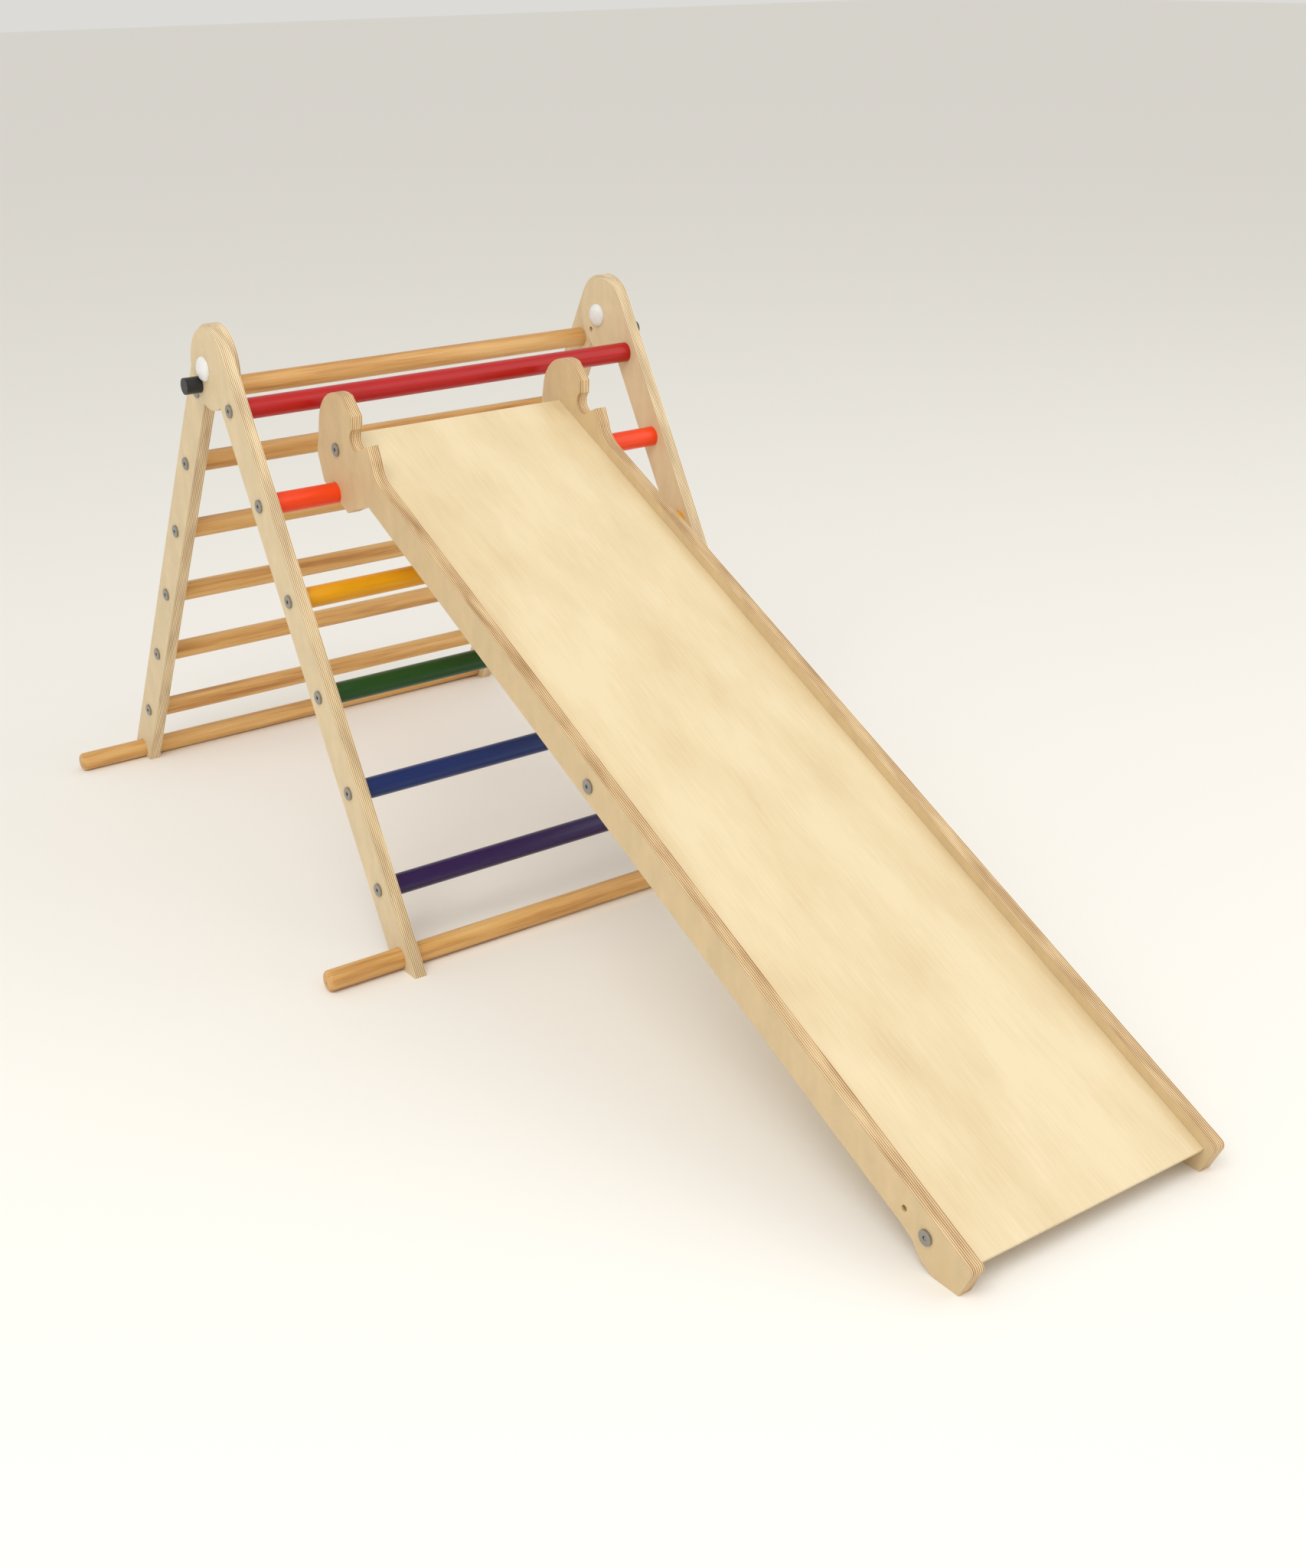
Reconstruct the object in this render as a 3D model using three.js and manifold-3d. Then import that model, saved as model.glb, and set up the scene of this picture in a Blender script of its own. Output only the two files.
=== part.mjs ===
// A folding climbing triangle with a hook-on slide.
// X runs along the rungs, the slide comes down towards -Y, and +Z is up.
// The origin is on the floor, in the middle of the footprint. Sizes are in millimetres.
import * as THREE from "three";
import { mergeVertices } from "three/addons/utils/BufferGeometryUtils.js";
import Module from "manifold-3d";

const wasm = await Module();
wasm.setup();

// ---- Driving dimensions ----
const ply = 18; // thickness of every plywood rail and side board
const fit = 0.3; // gap between touching pieces
const rungPitch = 140;
const rungCount = 6;
const rungDiameter = 30;
const barDiameter = 30;
const barProjection = 113; // how far a base bar stands out past the rails
const frameWidth = 710; // over both ladders' rails

const pivotHeight = 754;
const ladderTilt = 30; // degrees from upright
const railOffset = 43; // centre line of the rails, outward from the hinge axis
const firstRung = 79; // hinge axis to the top rung, along the rail
const railWidth = 56;
const headRadius = 58;
const headDown = 6; // head centre below the hinge axis, along the rail

const slideTilt = 25.9; // degrees below level
const slideLeft = -236; // outer face of the left side board
const slideWidth = 397;
const boardTop = 91; // top edge of a side board above the hook rung's axis
const lowerEdge = 42; // bottom edge of a side board above the hook rung's axis
const panelDepth = 14; // top of the panel below the top edge
const panelThickness = 5;
const grooveDepth = 6;
const footReach = 1436; // hook rung's axis to the front end of the slide

const boltHeadDiameter = 19;
const boltHeadHeight = 2.5;
const boltShankDiameter = 6;
const boltShankLength = 45;
const socketWidth = 6;
const socketDepth = 1.8;
const capDiameter = 36;
const capHeight = 9;
const pivotDiameter = 10;
const knobStud = 8;
const knobDiameter = 24;
const knobHeight = 24;
const knobDown = 12; // lock stud's place on the head
const knobOutward = -29;
const crossDiameter = 17;

// ---- Derived places ----
const rad = THREE.MathUtils.degToRad;
const lastRung = firstRung + (rungCount - 1) * rungPitch;
const barPlace =
  (pivotHeight + Math.sin(rad(ladderTilt)) * railOffset - barDiameter / 2 - fit) / Math.cos(rad(ladderTilt));
const frontLeft = -frameWidth / 2; // outer face of the front ladder's left rail
const ladderWidth = frameWidth - ply - fit;
const rearLeft = frontLeft + ply + fit;
const hookPlace = firstRung + rungPitch;

const colours = {
  birch: 0xe4cfa5,
  slideBirch: 0xdcc08a,
  panel: 0xf1e2be,
  pine: 0xdca860,
  zinc: 0x8a8a88,
  white: 0xf4f4f2,
  black: 0x1c1c1e,
  rungs: [0xb80000, 0xfa4400, 0xf0a800, 0x0f4a14, 0x0b2a6b, 0x260b50],
};

function material(colour, roughness = 0.5, metalness = 0) {
  return new THREE.MeshStandardMaterial({ color: colour, roughness, metalness });
}

// ---- Solids ----
function solidOf(geometry) {
  const bare = geometry.clone();
  bare.deleteAttribute("normal");
  bare.deleteAttribute("uv");
  const merged = mergeVertices(bare, 1e-4);
  return new wasm.Manifold(
    new wasm.Mesh({
      numProp: 3,
      vertProperties: new Float32Array(merged.attributes.position.array),
      triVerts: new Uint32Array(merged.index.array),
    }),
  );
}

function geometryOf(solid) {
  const mesh = solid.getMesh();
  const geometry = new THREE.BufferGeometry();
  geometry.setAttribute("position", new THREE.BufferAttribute(mesh.vertProperties, 3));
  geometry.setIndex(new THREE.BufferAttribute(mesh.triVerts, 1));
  geometry.computeVertexNormals();
  return geometry;
}

function cut(geometry, tools) {
  return geometryOf(tools.reduce((left, tool) => left.subtract(solidOf(tool)), solidOf(geometry)));
}

function join(pieces) {
  return geometryOf(pieces.map(solidOf).reduce((all, piece) => all.add(piece)));
}

// A cylinder along X from x = start, centred on (y, z).
function rod(diameter, start, length, y, z, segments = 32) {
  return new THREE.CylinderGeometry(diameter / 2, diameter / 2, length, segments)
    .rotateZ(Math.PI / 2)
    .translate(start + length / 2, y, z);
}

// A flat board in the YZ plane, from x = start, from an outline in (y, z).
const standing = new THREE.Matrix4().makeBasis(
  new THREE.Vector3(0, 1, 0),
  new THREE.Vector3(0, 0, 1),
  new THREE.Vector3(1, 0, 0),
);
function board(points, start, thickness) {
  return new THREE.ExtrudeGeometry(new THREE.Shape(points), { depth: thickness, bevelEnabled: false })
    .applyMatrix4(standing)
    .translate(start, 0, 0);
}

const group = new THREE.Group();

function addMesh(name, geometry, look) {
  const mesh = new THREE.Mesh(geometry, look);
  mesh.name = name;
  group.add(mesh);
}

// ---- Ladders ----
// A place on a ladder: down along the rail from the hinge axis, and outward from it.
// side is -1 on the front ladder and +1 on the rear one.
function onLadder(side, down, outward) {
  const tilt = rad(ladderTilt);
  return new THREE.Vector2(
    side * (Math.sin(tilt) * down + Math.cos(tilt) * outward),
    pivotHeight - Math.cos(tilt) * down + Math.sin(tilt) * outward,
  );
}

// Where a line along the rail, at this distance outward, meets the floor.
function downToFloor(outward) {
  const tilt = rad(ladderTilt);
  return (pivotHeight + Math.sin(tilt) * outward) / Math.cos(tilt);
}

// The rail's outline: a round head about the hinge, two straight edges, and a foot cut level.
function railOutline(side) {
  const outerEdge = railOffset + railWidth / 2;
  const innerEdge = railOffset - railWidth / 2;
  const headOut = outerEdge - headRadius;
  const headSteps = 30;
  const sweep = Math.PI + Math.PI / 2 + Math.asin((innerEdge - headOut) / headRadius);
  const points = [];
  for (let i = 0; i <= headSteps; i++) {
    const turn = Math.PI / 2 - (i / headSteps) * sweep;
    const down = headDown - headRadius * Math.cos(turn);
    points.push(onLadder(side, down, headOut + headRadius * Math.sin(turn)));
  }
  points.push(onLadder(side, downToFloor(innerEdge), innerEdge));
  points.push(onLadder(side, downToFloor(outerEdge), outerEdge));
  return points;
}

const rungPlaces = Array.from({ length: rungCount }, (_, i) => firstRung + i * rungPitch);

// Adds one ladder: two rails, six rungs, a base bar, and a bolt at each rung end.
function addLadder(word, side, left, rungLooks) {
  const right = left + ladderWidth;
  const holes = (start) => [
    ...rungPlaces.map((down) => {
      const at = onLadder(side, down, railOffset);
      return rod(boltShankDiameter + 2 * fit, start - 1, ply + 2, at.x, at.y, 8);
    }),
    ...[[barPlace, railOffset, barDiameter], [0, 0, pivotDiameter], [knobDown, knobOutward, knobStud]].map(
      ([down, outward, diameter]) => {
        const at = onLadder(side, down, outward);
        return rod(diameter + 2 * fit, start - 1, ply + 2, at.x, at.y, 32);
      },
    ),
  ];
  addMesh(word + "_left_rail", cut(board(railOutline(side), left, ply), holes(left)), material(colours.birch));
  const rightStart = right - ply;
  addMesh(
    word + "_right_rail",
    cut(board(railOutline(side), rightStart, ply), holes(rightStart)),
    material(colours.birch),
  );
  rungPlaces.forEach((down, i) => {
    const at = onLadder(side, down, railOffset);
    addRung(`${word}_rung_${i + 1}`, left + ply, rightStart, at, rungDiameter, material(rungLooks[i], 0.35));
    addBolt(`${word}_left_bolt_${i + 1}`, left, 1, at);
    addBolt(`${word}_right_bolt_${i + 1}`, right, -1, at);
  });
  const at = onLadder(side, barPlace, railOffset);
  addMesh(word + "_base_bar", roundedBar(left - barProjection, right + barProjection, at), material(colours.pine));
}

// A rung between two inner faces, drilled at both ends for its bolts.
function addRung(name, from, to, at, diameter, look) {
  const drilled = boltShankLength - ply + 2;
  const tools = [from + fit - 1, to - fit - drilled].map((start) =>
    rod(boltShankDiameter + 2 * fit, start, drilled + 1, at.x, at.y, 8),
  );
  addMesh(name, cut(rod(diameter, from + fit, to - from - 2 * fit, at.x, at.y), tools), look);
}

// A round bar with rounded ends, turned as a lathe piece and laid along X.
function roundedBar(from, to, at) {
  const radius = barDiameter / 2;
  const round = 6;
  const half = (to - from) / 2;
  const profile = [new THREE.Vector2(0, -half)];
  for (const end of [-1, 1]) {
    for (let i = 0; i <= 4; i++) {
      const turn = ((end < 0 ? i : 4 - i) / 4) * (Math.PI / 2);
      const reach = half - round + round * Math.cos(turn);
      profile.push(new THREE.Vector2(radius - round + round * Math.sin(turn), end * reach));
    }
  }
  profile.push(new THREE.Vector2(0, half));
  return new THREE.LatheGeometry(profile, 32)
    .rotateZ(-Math.PI / 2)
    .translate((from + to) / 2, at.x, at.y);
}

// A flat-head bolt in the face at x = face; inward is the way its shank goes.
function addBolt(name, face, inward, at) {
  const headStart = inward > 0 ? face - fit - boltHeadHeight : face + fit;
  const shankStart = inward > 0 ? face - fit - 1 : face + fit + 1 - boltShankLength;
  const bolt = join([
    rod(boltHeadDiameter, headStart, boltHeadHeight, at.x, at.y, 16),
    rod(boltShankDiameter, shankStart, boltShankLength, at.x, at.y, 8),
  ]);
  const socketStart = inward > 0 ? headStart - 1 : headStart + boltHeadHeight - socketDepth;
  const socket = rod(socketWidth, socketStart, socketDepth + 1, at.x, at.y, 6);
  addMesh(name, cut(bolt, [socket]), material(colours.zinc, 0.35, 1));
}

// ---- Hinge ----
// A shallow domed cap whose flat side is at x = face; outward is +1 or -1 along X.
function dome(face, outward, at) {
  const profile = [new THREE.Vector2(0, 0)];
  for (let i = 0; i <= 5; i++) {
    const turn = (i / 5) * (Math.PI / 2);
    profile.push(new THREE.Vector2((capDiameter / 2) * Math.cos(turn), capHeight * Math.sin(turn)));
  }
  profile[profile.length - 1].x = 0;
  return new THREE.LatheGeometry(profile, 24)
    .rotateZ((-outward * Math.PI) / 2)
    .translate(face, at.x, at.y);
}

// A pivot bolt through both heads with a domed cap on each end, and a lock knob on the outer face.
function addHinge(word, from, to, outward) {
  const at = onLadder(1, 0, 0);
  const pin = rod(pivotDiameter, from - fit - 2, to - from + 2 * fit + 4, at.x, at.y);
  const outerFace = outward < 0 ? from - fit : to + fit;
  const innerFace = outward < 0 ? to + fit : from - fit;
  addMesh(word + "_pivot_bolt", join([pin, dome(innerFace, -outward, at)]), material(colours.white, 0.2));
  const hole = rod(pivotDiameter + 2 * fit, outerFace + outward * 1 - 2.3, 4.6, at.x, at.y);
  addMesh(word + "_pivot_cap", cut(dome(outerFace, outward, at), [hole]), material(colours.white, 0.2));
  const side = outward < 0 ? -1 : 1;
  const place = onLadder(side, knobDown, knobOutward);
  const knobStart = outward < 0 ? outerFace - knobHeight : outerFace;
  const studStart = outward < 0 ? outerFace - 2 : outerFace + 2 - (ply - 2);
  const knob = join([
    rod(knobDiameter, knobStart, knobHeight, place.x, place.y, 24),
    rod(knobStud, studStart, ply - 2, place.x, place.y, 20),
  ]);
  addMesh(word + "_lock_knob", knob, material(colours.black, 0.5));
}

// ---- Slide ----
// A place on the slide: down the slope from the hook rung's axis, and square above it.
const slope = rad(slideTilt);
const hook = onLadder(-1, hookPlace, railOffset);
function onSlide(down, above) {
  return new THREE.Vector2(
    hook.x - Math.cos(slope) * down - Math.sin(slope) * above,
    hook.y - Math.sin(slope) * down + Math.cos(slope) * above,
  );
}

// How far above the hook rung's axis line the floor is, this far down the slope.
function floorAt(down) {
  return (fit - hook.y + Math.sin(slope) * down) / Math.cos(slope);
}

// An arc in slide places, from one angle to another about a centre, in degrees.
function arc(down, above, radius, from, to, steps) {
  return Array.from({ length: steps + 1 }, (_, i) => {
    const turn = rad(from + ((to - from) * i) / steps);
    return [down + radius * Math.cos(turn), above + radius * Math.sin(turn)];
  });
}

function slideOutline() {
  const throat = rungDiameter / 2 + fit;
  return [
    ...arc(0, 0, throat, 0, 180, 16),
    [-throat, -6],
    [-36, -6],
    [-66, 24],
    ...arc(-18, 87, 60, 200, 100, 10),
    [4, 135],
    ...arc(25, 110, 16, 150, 335, 10),
    [56, 123],
    ...arc(106, boardTop + 40, 40, 215, 270, 6),
    ...arc(footReach - 8, boardTop - 8, 8, 90, 0, 4),
    [footReach, floorAt(footReach)],
    [footReach - 36, floorAt(footReach - 36)],
    [footReach - 59, 30],
    [footReach - 78, 40],
    [footReach - 100, lowerEdge],
    [89, lowerEdge],
    [58, 14],
    [40, -6],
    [throat, -6],
  ].map(([down, above]) => onSlide(down, above));
}

const crossPlaces = [-18, 674, 1370];
const crossAbove = 63;
const panelTop = boardTop - panelDepth;

function panelOutline(extra) {
  const low = panelTop - panelThickness - extra;
  const high = panelTop + extra;
  return [
    [-30 - extra, low],
    [-30 - extra, high],
    [1424 + extra, high],
    [1424 + extra, low],
  ].map(([down, above]) => onSlide(down, above));
}

function addSlide() {
  const right = slideLeft + slideWidth;
  const inner = slideLeft + ply;
  const outer = right - ply;
  for (const [word, start, grooveStart, face, inward] of [
    ["left", slideLeft, inner - grooveDepth, slideLeft, 1],
    ["right", outer, outer - 1, right, -1],
  ]) {
    const tools = crossPlaces.map((down) => {
      const at = onSlide(down, crossAbove);
      return rod(boltShankDiameter + 2 * fit, start - 1, ply + 2, at.x, at.y, 8);
    });
    const spare = onSlide(1331, crossAbove);
    tools.push(rod(8, start - 1, ply + 2, spare.x, spare.y, 16));
    tools.push(board(panelOutline(fit), grooveStart, grooveDepth + 1));
    addMesh(`slide_${word}_board`, cut(board(slideOutline(), start, ply), tools), material(colours.slideBirch));
    crossPlaces.forEach((down, i) => addBolt(`slide_${word}_bolt_${i + 1}`, face, inward, onSlide(down, crossAbove)));
  }
  const panelStart = inner - grooveDepth + fit;
  const panelWidth = slideWidth - 2 * ply + 2 * grooveDepth - 2 * fit;
  addMesh("slide_panel", board(panelOutline(0), panelStart, panelWidth), material(colours.panel, 0.4));
  crossPlaces.forEach((down, i) => {
    const at = onSlide(down, crossAbove);
    addRung(`slide_crossbar_${i + 1}`, inner, outer, at, crossDiameter, material(colours.pine));
  });
}

addLadder("front", -1, frontLeft, colours.rungs);
addLadder("rear", 1, rearLeft, Array(rungCount).fill(colours.pine));
addHinge("left", frontLeft, rearLeft + ply, -1);
addHinge("right", frontLeft + ladderWidth - ply, frameWidth / 2, 1);
addSlide();

// The origin goes to the middle of the footprint, on the floor.
const rearEnd = onLadder(1, downToFloor(railOffset + railWidth / 2), railOffset + railWidth / 2).x;
const frontEnd = Math.min(...slideOutline().map((point) => point.x));
group.position.y = -(rearEnd + frontEnd) / 2;

export default group;
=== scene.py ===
# Looks of a folding climbing triangle with a hook-on slide, in metres.
import bpy
import math
from mathutils import Matrix, Vector


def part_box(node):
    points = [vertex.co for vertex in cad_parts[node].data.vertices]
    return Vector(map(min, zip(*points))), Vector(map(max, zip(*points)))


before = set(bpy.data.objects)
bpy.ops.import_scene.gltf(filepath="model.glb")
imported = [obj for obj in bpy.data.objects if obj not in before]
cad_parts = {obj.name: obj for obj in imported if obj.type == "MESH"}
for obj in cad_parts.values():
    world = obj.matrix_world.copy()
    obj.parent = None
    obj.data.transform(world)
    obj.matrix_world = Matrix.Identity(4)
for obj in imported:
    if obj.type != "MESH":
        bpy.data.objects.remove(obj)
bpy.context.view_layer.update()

# Plywood: a board's thickness, and the layers across it.
PLY = 0.018
LAYERS = 13
RAIL_FACE, RAIL_EDGE = (0.78, 0.62, 0.38), (0.42, 0.29, 0.16)
SLIDE_FACE, SLIDE_EDGE = (0.72, 0.54, 0.3), (0.3, 0.14, 0.04)

# Paint on the front rungs, from the top one down.
RUNG_COLOURS = [
    (0.48, 0, 0),
    (0.95, 0.055, 0),
    (0.86, 0.38, 0),
    (0.005, 0.065, 0.007),
    (0.003, 0.024, 0.15),
    (0.02, 0.003, 0.08),
]

# How far a bump stands out, how round a hard edge is, and where smooth shading stops, in degrees.
BUMP_HEIGHT = 0.0006
EDGE_RADIUS = 0.0009
BEVEL_ANGLE = 40
SMOOTH_ANGLE = 32

# The camera: its place in metres, its angles in degrees, its lens and sensor width in millimetres.
CAMERA_PLACE = (-1.468, -2.172, 1.316)
CAMERA_AZIMUTH, CAMERA_ELEVATION, CAMERA_ROLL = -35.41, 23.34, -0.71
CAMERA_LENS = 54.47
SENSOR_WIDTH = 36

# The stage: the floor, two soft lamps aimed above the middle of the object, and the sky.
FLOOR_SIZE = 60
FLOOR_COLOUR = (0.93, 0.91, 0.86, 1)
LAMP_TARGET = (0, 0, 0.3)
LAMPS = [("key", (-2.5, -2.0, 4.0), 3.0, 95), ("fill", (3.0, -2.5, 3.0), 4.0, 45)]
SKY_COLOUR = (1, 0.985, 0.955, 1)
SKY_STRENGTH = 0.72


class Nodes:
    """A material's node tree with short helpers."""

    def __init__(self, name, roughness, metallic=0.0):
        self.material = bpy.data.materials.new(name)
        self.material.use_nodes = True
        self.tree = self.material.node_tree
        self.shader = self.tree.nodes["Principled BSDF"]
        self.shader.inputs["Roughness"].default_value = roughness
        self.shader.inputs["Metallic"].default_value = metallic
        self.where = self.add("ShaderNodeTexCoord")

    def add(self, kind, **values):
        node = self.tree.nodes.new(kind)
        for key, value in values.items():
            setattr(node, key, value)
        return node

    def link(self, a, b):
        self.tree.links.new(a, b)

    def noise(self, stretch, scale, detail=4.0):
        mapping = self.add("ShaderNodeMapping")
        mapping.inputs["Scale"].default_value = stretch
        self.link(self.where.outputs["Object"], mapping.inputs["Vector"])
        noise = self.add("ShaderNodeTexNoise")
        noise.inputs["Scale"].default_value = scale
        noise.inputs["Detail"].default_value = detail
        self.link(mapping.outputs["Vector"], noise.inputs["Vector"])
        return noise.outputs["Fac"]

    def ramp(self, value, stops):
        ramp = self.add("ShaderNodeValToRGB")
        while len(ramp.color_ramp.elements) < len(stops):
            ramp.color_ramp.elements.new(0.5)
        for element, (place, colour) in zip(ramp.color_ramp.elements, stops):
            element.position = place
            element.color = (*colour, 1)
        self.link(value, ramp.inputs["Fac"])
        return ramp.outputs["Color"]

    def math(self, operation, a, b=0.0, c=0.0):
        node = self.add("ShaderNodeMath", operation=operation)
        for socket, value in zip(node.inputs, (a, b, c)):
            if isinstance(value, (int, float)):
                socket.default_value = value
            else:
                self.link(value, socket)
        return node.outputs[0]

    def mix(self, factor, a, b):
        node = self.add("ShaderNodeMix", data_type="RGBA")
        self.link(factor, node.inputs["Factor"])
        self.link(a, node.inputs["A"])
        self.link(b, node.inputs["B"])
        return node.outputs["Result"]

    def finish(self, colour, height, strength):
        self.link(colour, self.shader.inputs["Base Color"])
        bump = self.add("ShaderNodeBump")
        bump.inputs["Strength"].default_value = strength
        bump.inputs["Distance"].default_value = BUMP_HEIGHT
        self.link(height, bump.inputs["Height"])
        self.link(bump.outputs["Normal"], self.shader.inputs["Normal"])
        return self.material


def plywood(name, start, face, edge):
    """Grain on the faces, and layers across the thickness on the edges."""
    n = Nodes(name, 0.5)
    grain = n.noise((1, 3, 1), 14)
    fine = n.noise((60, 7, 7), 9)
    both = n.math("MULTIPLY_ADD", fine, 0.35, n.math("MULTIPLY", grain, 0.65))
    face_colour = n.ramp(both, [(0.3, tuple(c * 0.86 for c in face)), (0.7, face)])
    split = n.add("ShaderNodeSeparateXYZ")
    n.link(n.where.outputs["Object"], split.inputs[0])
    layer = n.math("MULTIPLY", n.math("SUBTRACT", split.outputs["X"], start), LAYERS / PLY)
    wave = n.math("SINE", n.math("MULTIPLY", n.math("ADD", layer, -0.5), math.pi))
    blend = n.math("MULTIPLY_ADD", wave, 0.3, n.noise((12, 2, 2), 6))
    edge_colour = n.ramp(blend, [(0.25, edge), (0.75, tuple(min(1, c * 1.15) for c in face))])
    normal = n.add("ShaderNodeSeparateXYZ")
    n.link(n.where.outputs["Normal"], normal.inputs[0])
    is_face = n.math("GREATER_THAN", n.math("ABSOLUTE", normal.outputs["X"]), 0.7)
    return n.finish(n.mix(is_face, edge_colour, face_colour), fine, 0.15)


def pine():
    """Long bands of golden grain along the rungs and bars."""
    n = Nodes("pine", 0.38)
    rings = n.noise((0.6, 14, 14), 5, 6)
    fibre = n.noise((3, 120, 120), 5)
    both = n.math("MULTIPLY_ADD", fibre, 0.3, n.math("MULTIPLY", rings, 0.7))
    stops = [(0.35, (0.45, 0.2, 0.05)), (0.5, (0.68, 0.38, 0.12)), (0.65, (0.78, 0.5, 0.2))]
    return n.finish(n.ramp(both, stops), fibre, 0.2)


def panel_wood():
    """Pale wood with broad clouding and fine lines down the slide."""
    n = Nodes("panel_wood", 0.35)
    cloud = n.noise((2, 0.7, 1), 6)
    fibre = n.noise((90, 3, 3), 6)
    both = n.math("MULTIPLY_ADD", fibre, 0.3, n.math("MULTIPLY", cloud, 0.7))
    return n.finish(n.ramp(both, [(0.3, (0.7, 0.54, 0.3)), (0.6, (0.82, 0.68, 0.43))]), fibre, 0.06)


def plain(name, colour, roughness, metallic=0.0, grain=(1, 1, 1), scale=60):
    """A painted, plated or moulded surface with a faint unevenness."""
    n = Nodes(name, roughness, metallic)
    uneven = n.noise(grain, scale)
    return n.finish(n.ramp(uneven, [(0.3, tuple(c * 0.88 for c in colour)), (0.7, colour)]), uneven, 0.08)


def dress(name, material):
    """Gives a CAD node its material, smooth shading and, except on bolts, rounded edges."""
    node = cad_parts[name]
    if not node.material_slots:
        node.data.materials.append(material)
    for slot in node.material_slots:
        slot.material = material
    for face in node.data.polygons:
        face.use_smooth = True
    node.data.set_sharp_from_angle(angle=math.radians(SMOOTH_ANGLE))
    if "bolt" not in name:
        bevel = node.modifiers.new("soft_edges", "BEVEL")
        bevel.width = EDGE_RADIUS
        bevel.segments = 2
        bevel.angle_limit = math.radians(BEVEL_ANGLE)
        bevel.limit_method = "ANGLE"


looks = {
    "pine": pine(),
    "panel": panel_wood(),
    "zinc": plain("zinc", (0.36, 0.35, 0.33), 0.32, 1.0),
    "white": plain("white_plastic", (0.85, 0.85, 0.83), 0.18),
    "black": plain("black_plastic", (0.012, 0.012, 0.014), 0.4),
}
paints = [plain(f"paint_{i}", c, 0.32, grain=(2, 20, 20), scale=8) for i, c in enumerate(RUNG_COLOURS, 1)]


def look_of(name):
    """The material that a node with this name takes."""
    if "rail" in name:
        return plywood(name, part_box(name)[0][0], RAIL_FACE, RAIL_EDGE)
    if name.startswith("slide_") and name.endswith("board"):
        return plywood(name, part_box(name)[0][0], SLIDE_FACE, SLIDE_EDGE)
    if name.startswith("front_rung"):
        return paints[int(name[-1]) - 1]
    if "pivot" in name:
        return looks["white"]
    if "bolt" in name:
        return looks["zinc"]
    if "knob" in name:
        return looks["black"]
    return looks["panel"] if name == "slide_panel" else looks["pine"]


def add_floor():
    bpy.ops.mesh.primitive_plane_add(size=FLOOR_SIZE, location=(0, 0, 0))
    floor = bpy.context.object
    floor.name = "floor"
    look = Nodes("floor", 0.9)
    look.shader.inputs["Base Color"].default_value = FLOOR_COLOUR
    floor.data.materials.append(look.material)


def add_lamp(name, place, size, power):
    lamp = bpy.data.lights.new(name, "AREA")
    lamp.size = size
    lamp.energy = power
    lamp_object = bpy.data.objects.new(name, lamp)
    lamp_object.location = place
    aim = Vector(LAMP_TARGET) - Vector(place)
    lamp_object.rotation_euler = aim.to_track_quat("-Z", "Y").to_euler()
    bpy.context.scene.collection.objects.link(lamp_object)


def add_sky():
    world = bpy.data.worlds.new("world")
    world.use_nodes = True
    background = world.node_tree.nodes["Background"]
    background.inputs["Color"].default_value = SKY_COLOUR
    background.inputs["Strength"].default_value = SKY_STRENGTH
    bpy.context.scene.world = world


def add_camera():
    """Looks at the object from the given angles, turned about its own axis by the roll."""
    azimuth, elevation, roll = map(math.radians, (CAMERA_AZIMUTH, CAMERA_ELEVATION, CAMERA_ROLL))
    reach = math.cos(elevation)
    back = Vector((math.sin(azimuth) * reach, -math.cos(azimuth) * reach, math.sin(elevation)))
    level = Vector((math.cos(azimuth), math.sin(azimuth), 0))
    upright = back.cross(level)
    right = level * math.cos(roll) + upright * math.sin(roll)
    up = upright * math.cos(roll) - level * math.sin(roll)
    camera = bpy.data.cameras.new("camera")
    camera.sensor_fit = "HORIZONTAL"
    camera.sensor_width = SENSOR_WIDTH
    camera.lens = CAMERA_LENS
    camera_object = bpy.data.objects.new("camera", camera)
    turn = Matrix((right, up, back)).transposed().to_4x4()
    camera_object.matrix_world = Matrix.Translation(CAMERA_PLACE) @ turn
    bpy.context.scene.collection.objects.link(camera_object)
    bpy.context.scene.camera = camera_object


for node_name in sorted(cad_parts):
    dress(node_name, look_of(node_name))
add_camera()
add_floor()
for lamp_values in LAMPS:
    add_lamp(*lamp_values)
add_sky()
bpy.context.scene.view_settings.view_transform = "Standard"
